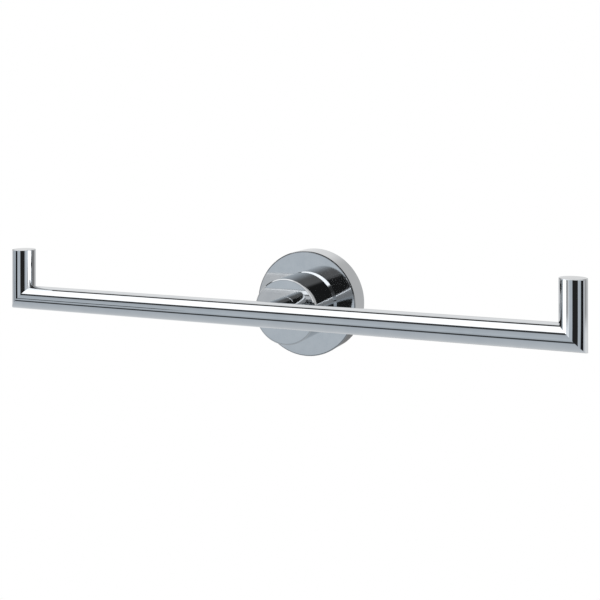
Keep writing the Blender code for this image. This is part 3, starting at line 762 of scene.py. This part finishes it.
def makeRosette(spec):
    radius = (coverHigh[0] - coverLow[0]) / 2
    rear = -coverHigh[1]
    bore = radius - spec["wall"]
    ceiling = rosetteFront - spec["frontWall"]
    inward, along = spec["chamfer"]
    r, d = bent([
        (0, rosetteFront), (radius - inward - spec["edgeBand"], rosetteFront),
        (radius - inward, rosetteFront, spec["edge"]),
        (radius, rosetteFront - along, spec["edge"]), (radius, rear, spec["rim"]),
        (bore, rear, spec["rim"]), (bore, ceiling, spec["rim"]), (0, ceiling),
    ], loop=False)
    body = ringMesh("rosetteCover", turned(r, d, spec["steps"], (0, 0, 0), "room"))
    grubLow, grubHigh = nodeBox("grub_screw")
    grubDepth = -(grubLow[1] + grubHigh[1]) / 2
    countersink = spec["grubMouth"] - spec["grubBore"]
    tap = tableMesh("tap", [
        (0, bore - overrun), (spec["grubBore"], bore - overrun),
        (spec["grubBore"], radius - countersink), (spec["grubMouth"], radius),
        (spec["grubMouth"], radius + overrun), (0, radius + overrun),
    ], boreSteps, (0, -grubDepth, 0), "down")
    bolt = boreMesh(spec["bolt"], ceiling - overrun, rosetteFront + overrun,
                    (0, 0, neckHeight), "room")
    mesh = cutMesh("rosetteCover", body, [bolt, tap, dowelBore()])
    piece = addPiece("rosetteCover", mesh, polishedChrome, "chrome_plate", "holder",
                     "rosette_cover")
    finishFlats(piece, "room", latheFacedChrome)
    # painted shade: the rosette's front chamfer ring gets the darker plate colour
    paintEdgeShade(piece, radius, rosetteFront, along, inward + spec["edgeBand"], coverShadeLine)


makeRosette(rosette)
print("neck, boss and rosette made")


# Hardware. A turned piece is made from its profile's corners, in place of one node.
def addTurned(name, corners, loop, steps, height, finish, node):
    radius, distance = bent(corners, loop)
    mesh = ringMesh(name, turned(radius, distance, steps, (0, 0, height), "room"), loop)
    return addPiece(name, mesh, *finish, node)


# Thread rows: radius = core + (crest - core) * ridge * fade. The ridge is a clipped triangle wave
# of distance / pitch - angle / full turn, which makes a right-hand helix.
def threadRows(spec, start, end, steps):
    count = int(abs(end - start) / spec["pitch"] * spec["rowsPerPitch"])
    distance = np.linspace(start, end, count)[:, None]
    turns = distance / spec["pitch"] - spokeAngles(steps) / turnAround
    wave = 1 - np.abs(2 * (turns % 1) - 1)
    ridge = np.clip((wave - spec["root"]) / spec["flank"], 0, 1)
    fade = np.clip(np.minimum(abs(distance - start), abs(end - distance)) / spec["pitch"], 0, 1)
    radius = spec["core"] + (spec["crest"] - spec["core"]) * ridge * fade
    return list(zip(radius, np.broadcast_to(distance, radius.shape)))


# Socket outline: radius = flat radius / cos(angle within one sixth of a turn)
def hexOutline(flat, steps):
    sixth = turnAround / 6
    return flat / np.cos(spokeAngles(steps) % sixth - sixth / 2)


# Cross outline: the larger radius of a lying and a standing bar
def crossOutline(arm, half, steps):
    across = np.maximum(np.abs(np.cos(spokeAngles(steps))), nearZero)
    upright = np.maximum(np.abs(np.sin(spokeAngles(steps))), nearZero)
    lying = np.minimum(arm / across, half / upright)
    standing = np.minimum(half / across, arm / upright)
    return np.maximum(lying, standing)


# Slot outline: flat sides, half width / |sin|, and round ends, travel * |cos| plus the root of
# half width squared - (travel * sin) squared
def slotOutline(half, travel, turn, steps):
    angles = spokeAngles(steps) - turn
    across, upright = np.abs(np.cos(angles)), np.abs(np.sin(angles))
    side = half / np.maximum(upright, nearZero)
    end = travel * across + np.sqrt(np.maximum(half ** 2 - (travel * upright) ** 2, 0))
    return np.where(side * across <= travel, side, end)


# Wall plate: die-cast dish with two slots for the screws and a flat for the grub screw's tip
plate = {"steps": 256, "rim": 3.2 * mm, "floor": 2.5 * mm, "relief": 0.4 * mm, "pad": 5.5 * mm,
         "floorBend": 0.5 * mm, "innerBend": 0.35 * mm, "outerBend": 0.5 * mm,
         "rearBend": 0.3 * mm, "reliefBend": 0.1 * mm, "slotHalf": 2.3 * mm,
         "slotTravel": 1.7 * mm, "slotEdge": 0.3 * mm, "slotSteps": 96, "grubFlat": 22.0 * mm}


def makePlate(spec):
    front, radius = roundNode("wall_plate")[1:3]
    inner, base, relief, pad = radius - spec["rim"], spec["floor"], spec["relief"], spec["pad"]
    bend = spec["reliefBend"]
    r, d = bent([
        (0, base), (inner, base, spec["floorBend"]), (inner, front, spec["innerBend"]),
        (radius, front, spec["outerBend"]), (radius, 0, spec["rearBend"]), (inner, 0, bend),
        (inner, relief, bend), (pad, relief, bend), (pad, 0, bend), (0, 0),
    ], loop=False)
    body = ringMesh("wallPlate", turned(r, d, spec["steps"], (0, 0, 0), "room"))
    tools = [blockMesh((-radius, -front - overrun, -radius - overrun),
                       (radius, overrun, -spec["grubFlat"]))]
    edge, steps = spec["slotEdge"], spec["slotSteps"]
    for node, turn in (("wall_screw_upper", turnAround / 4), ("wall_screw_lower", 0)):
        outline = slotOutline(spec["slotHalf"], spec["slotTravel"], turn, steps)
        tools.append(tableMesh("slot", [
            (0, -overrun), (outline, -overrun), (outline, base - edge),
            (outline + 2 * edge, base + edge), (0, base + edge),
        ], steps, (0, 0, roundNode(node)[3]), "room"))
    mesh = cutMesh("wallPlate", body, tools)
    addPiece("wallPlate", mesh, castZinc, "zinc_casting", "wall_bracket", "wall_plate")


makePlate(plate)


# Wall screws: domed head with a tapering cross recess, coarse thread and a drawn-out point
wallScrew = {"steps": 96, "core": 1.35 * mm, "crest": 1.97 * mm, "pitch": 1.8 * mm,
             "rowsPerPitch": 14, "root": 0.45, "flank": 0.5, "plain": 3.0 * mm,
             "runOut": 0.3 * mm, "threadStart": 0.4 * mm, "threadEnd": 0.3 * mm,
             "point": 4.0 * mm, "pointPower": 0.8, "headHeight": 2.4 * mm,
             "rimHeight": 0.25 * mm, "rimShare": 0.8, "headEdge": 0.1 * mm, "fillet": 0.2 * mm,
             "arm": 2.2 * mm, "armHalf": 0.5 * mm, "recess": 1.32 * mm, "recessTip": 1.15,
             "recessFoot": 0.45, "flare": 0.7, "flareShares": (0, 0.04, 0.35, 0.7, 1),
             "domeShares": (0.78, 0.85, 0.91, 0.95, 0.98, 0.995)}


# The head's dome is seat + rim + (height - rim) * sqrt(1 - (radius / head radius)^2). The rows
# between the recess and the dome change from the cross's outline to a circle.
def makeWallScrew(spec, place):
    steps, rim, edge, shank = spec["steps"], spec["rimHeight"], spec["headEdge"], spec["crest"]
    tip, top, head, height = roundNode("wall_screw_" + place)
    seat = top - spec["headHeight"]
    plainEnd = seat - spec["plain"]
    cross = crossOutline(spec["arm"], spec["armHalf"], steps)

    def dome(radius):
        lift = (spec["headHeight"] - rim) * np.sqrt(np.maximum(1 - (radius / head) ** 2, 0))
        return seat + rim + lift

    rows = [(0, top - spec["recessTip"] * spec["recess"]),
            (spec["recessFoot"] * cross, top - spec["recess"])]
    for share in spec["flareShares"]:
        radius = (1 - share) * cross + share * spec["flare"] * head
        rows.append((radius, dome(radius)))
    for share in spec["domeShares"]:
        rows.append((share * head, dome(share * head)))
    rows += [(head, seat + spec["rimShare"] * rim), (head, seat + edge), (head - edge, seat),
             (shank + spec["fillet"], seat), (shank, seat - spec["fillet"]), (shank, plainEnd),
             (spec["core"], plainEnd - spec["runOut"])]
    thread = threadRows(spec, plainEnd - spec["threadStart"], tip + spec["threadEnd"], steps)
    rows += [(radius * np.clip((distance - tip) / spec["point"], 0, 1) ** spec["pointPower"],
              distance) for radius, distance in thread]
    rows.append((0, tip))
    mesh = tableMesh("wallScrew", rows, steps, (0, 0, height), "room")
    addPiece("wallScrew" + place.title(), mesh, zincSteel, "steel", "wall_bracket",
             "wall_screw_" + place)


# Washers: punched, so one edge is rounder than the other
washer = {"steps": 96, "screwBore": 2.3 * mm, "boltBore": 2.8 * mm, "sharp": 0.06 * mm,
          "round": 0.18 * mm}


def makeWasher(spec, name, node, bore, body):
    rear, front, radius, height = roundNode(node)
    addTurned(name, [
        (bore, rear, spec["sharp"]), (radius, rear, spec["sharp"]), (radius, front, spec["round"]),
        (bore, front, spec["round"]),
    ], True, spec["steps"], height, (zincSteel, "steel", body), node)


# Wall plugs: a collar, then saw-tooth barbs that widen evenly inwards, slit at the far end
wallPlug = {"steps": 96, "bore": 2.3 * mm, "mouthBend": 0.15 * mm, "collar": 1.6 * mm,
            "collarBend": 0.2 * mm, "barbs": 7, "barbPitch": 3.2 * mm, "barbHeight": 0.28 * mm,
            "barbFoot": 0.15 * mm, "slit": 1.0 * mm, "slitShare": 0.6, "tip": 2.65 * mm,
            "tipLength": 3.0 * mm, "tipBend": 0.1 * mm}


def makeWallPlug(spec, place):
    end, mouth, radius, height = roundNode("wall_plug_" + place)
    root, start, foot = radius - spec["barbHeight"], mouth - spec["collar"], spec["barbFoot"]
    corners = [(spec["bore"], mouth, spec["mouthBend"]), (radius, mouth, spec["collarBend"]),
               (radius, start)]
    for barb in range(spec["barbs"]):
        first = start - barb * spec["barbPitch"]
        corners += [(root, first - foot), (radius, first - spec["barbPitch"] + foot)]
    corners += [(root, start - spec["barbs"] * spec["barbPitch"]),
                (root, end + spec["tipLength"]), (spec["tip"], end, spec["tipBend"]),
                (spec["bore"], end)]
    r, d = bent(corners, loop=True)
    body = ringMesh("wallPlug", turned(r, d, spec["steps"], (0, 0, height), "room"), loop=True)
    half, reach = spec["slit"] / 2, spec["slitShare"] * (mouth - end)
    slit = blockMesh((-radius - overrun, -end - reach, height - half),
                     (radius + overrun, -end + overrun, height + half))
    addPiece("wallPlug" + place.title(), cutMesh("wallPlug", body, [slit]), mouldedNylon, "nylon",
             "wall_bracket", "wall_plug_" + place)


for place in ("upper", "lower"):
    makeWallScrew(wallScrew, place)
    makeWasher(washer, "screwWasher" + place.title(), "screw_washer_" + place,
               washer["screwBore"], "wall_bracket")
    makeWallPlug(wallPlug, place)
print("wall fixings made")


# Clamp bolt: M5, its socket towards the wall, threaded over its last part
clampBolt = {"steps": 96, "core": 2.1 * mm, "crest": 2.47 * mm, "pitch": 0.8 * mm,
             "rowsPerPitch": 16, "root": 0.12, "flank": 0.76, "thread": 16.0 * mm,
             "runOut": 0.3 * mm, "threadStart": 0.4 * mm, "headHeight": 3.0 * mm,
             "headEdge": 0.35 * mm, "edgeShare": 0.3, "seatEdge": 0.1 * mm,
             "fillet": 0.25 * mm, "socketFlat": 2.02 * mm, "socketDepth": 1.65 * mm,
             "socketTip": 0.15 * mm, "footShare": 0.98, "footHeight": 0.05 * mm,
             "mouth": 0.15 * mm, "tipChamfer": 0.5 * mm, "tipInset": 0.3 * mm}


def makeClampBolt(spec):
    steps, core, shank, fillet = spec["steps"], spec["core"], spec["crest"], spec["fillet"]
    rear, tip, head, height = roundNode("clamp_bolt")
    seat, edge, under = rear + spec["headHeight"], spec["headEdge"], spec["seatEdge"]
    socket, mouth = hexOutline(spec["socketFlat"], steps), spec["mouth"]
    bottom, bend = rear + spec["socketDepth"], spec["edgeShare"] * edge
    rows = [(0, bottom + spec["socketTip"]), (socket * spec["footShare"], bottom),
            (socket, bottom - spec["footHeight"]), (socket, rear + mouth),
            (socket + mouth, rear), (head - edge, rear), (head - bend, rear + bend),
            (head, rear + edge), (head, seat - under), (head - under, seat),
            (shank + fillet, seat), (shank, seat + fillet), (shank, tip - spec["thread"]),
            (core, tip - spec["thread"] + spec["runOut"])]
    rows += threadRows(spec, tip - spec["thread"] + spec["threadStart"],
                       tip - spec["tipChamfer"], steps)
    rows += [(core - spec["tipInset"], tip), (0, tip)]
    mesh = tableMesh("clampBolt", rows, steps, (0, 0, height), "room")
    addPiece("clampBolt", mesh, zincSteel, "steel", "holder", "clamp_bolt")


# Spring washer: a flattened section swept round from one side of the split to the other while it
# rises: depth = middle + rise * (angle / half turn - 1)
springWasher = {"bore": 2.8 * mm, "thickness": 0.76 * mm, "rise": 0.11 * mm, "split": 1.2 * mm,
                "stations": 90, "corner": 0.12 * mm, "cornerSteps": 5}


def makeSpringWasher(spec):
    rear, front, radius, height = roundNode("spring_washer")
    half = np.array([(radius - spec["bore"]) / 2, spec["thickness"] / 2])
    inset = spec["corner"]
    signs = np.array([(1, -1), (1, 1), (-1, 1), (-1, -1)])
    quarter = np.linspace(0, 1, spec["cornerSteps"]) * turnAround / 4
    section = []
    for sign, start in zip(signs, (np.arange(4) - 1) * turnAround / 4):
        arc = np.stack([np.cos(quarter + start), np.sin(quarter + start)], -1)
        section.append(sign * (half - inset) + inset * arc)
    section = np.concatenate(section)
    middle = (radius + spec["bore"]) / 2
    gap = spec["split"] / 2 / middle
    angles = np.linspace(gap, turnAround - gap, spec["stations"])[:, None]
    depth = (rear + front) / 2 + spec["rise"] * (angles / math.pi - 1)
    along, side, up = axes["room"]
    reach = middle + section[:, 0]
    grid = (np.array([0, 0, height]) + (reach * np.cos(angles))[..., None] * side
            + (reach * np.sin(angles))[..., None] * up + (depth + section[:, 1])[..., None] * along)
    mesh = ringMesh("springWasher",
                    np.concatenate([pole(grid[0])[None], grid, pole(grid[-1])[None]]))
    addPiece("springWasher", mesh, zincSteel, "steel", "holder", "spring_washer")


# Dowel: hardened and ground, with a rounded end and a chamfered one
dowel = {"steps": 64, "rounded": 0.9 * mm, "chamfer": 0.3 * mm, "bend": 0.05 * mm}


def makeDowel(spec):
    rear, front, radius, height = roundNode("boss_dowel")
    chamfer, bend = spec["chamfer"], spec["bend"]
    addTurned("bossDowel", [
        (0, rear), (radius, rear, spec["rounded"]), (radius, front - chamfer, bend),
        (radius - chamfer, front, bend), (0, front),
    ], False, spec["steps"], height, (stainlessSteel, "steel", "holder"), "boss_dowel")


# Grub screw: M4, cup point up at the plate's flat, socket below. Its distances run downwards.
grubScrew = {"steps": 96, "core": 1.62 * mm, "crest": 1.97 * mm, "pitch": 0.7 * mm,
             "rowsPerPitch": 16, "root": 0.12, "flank": 0.76, "threadStart": 0.02 * mm,
             "cup": 1.0 * mm, "cupDepth": 0.3 * mm, "pointLength": 0.6 * mm,
             "socketFlat": 0.95 * mm, "socketDepth": 2.4 * mm, "socketTip": 0.2 * mm,
             "mouth": 0.1 * mm, "headEdge": 0.2 * mm}


def makeGrubScrew(spec):
    steps, core, mouth = spec["steps"], spec["core"], spec["mouth"]
    low, high = nodeBox("grub_screw")
    tip, head = -high[2], -low[2]
    point, bottom = tip + spec["pointLength"], head - spec["socketDepth"]
    socket = hexOutline(spec["socketFlat"], steps)
    rows = [(0, tip + spec["cupDepth"]), (spec["cup"], tip), (core, point)]
    rows += threadRows(spec, point + spec["threadStart"], head - spec["headEdge"], steps)
    rows += [(core, head), (socket + mouth, head), (socket, head - mouth), (socket, bottom),
             (0, bottom - spec["socketTip"])]
    mesh = tableMesh("grubScrew", rows, steps, (0, (low[1] + high[1]) / 2, 0), "down")
    addPiece("grubScrew", mesh, stainlessSteel, "steel", "set_screw", "grub_screw")


makeClampBolt(clampBolt)
makeSpringWasher(springWasher)
makeWasher(washer, "clampWasher", "clamp_washer", washer["boltBore"], "holder")
makeDowel(dowel)
makeGrubScrew(grubScrew)
print("clamp hardware made")


# Carried-over node: right in shape and hidden in the bar, given its real finish
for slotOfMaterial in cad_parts["bar_insert"].material_slots:
    slotOfMaterial.material = turnedBrass
print("carried-over node finished")
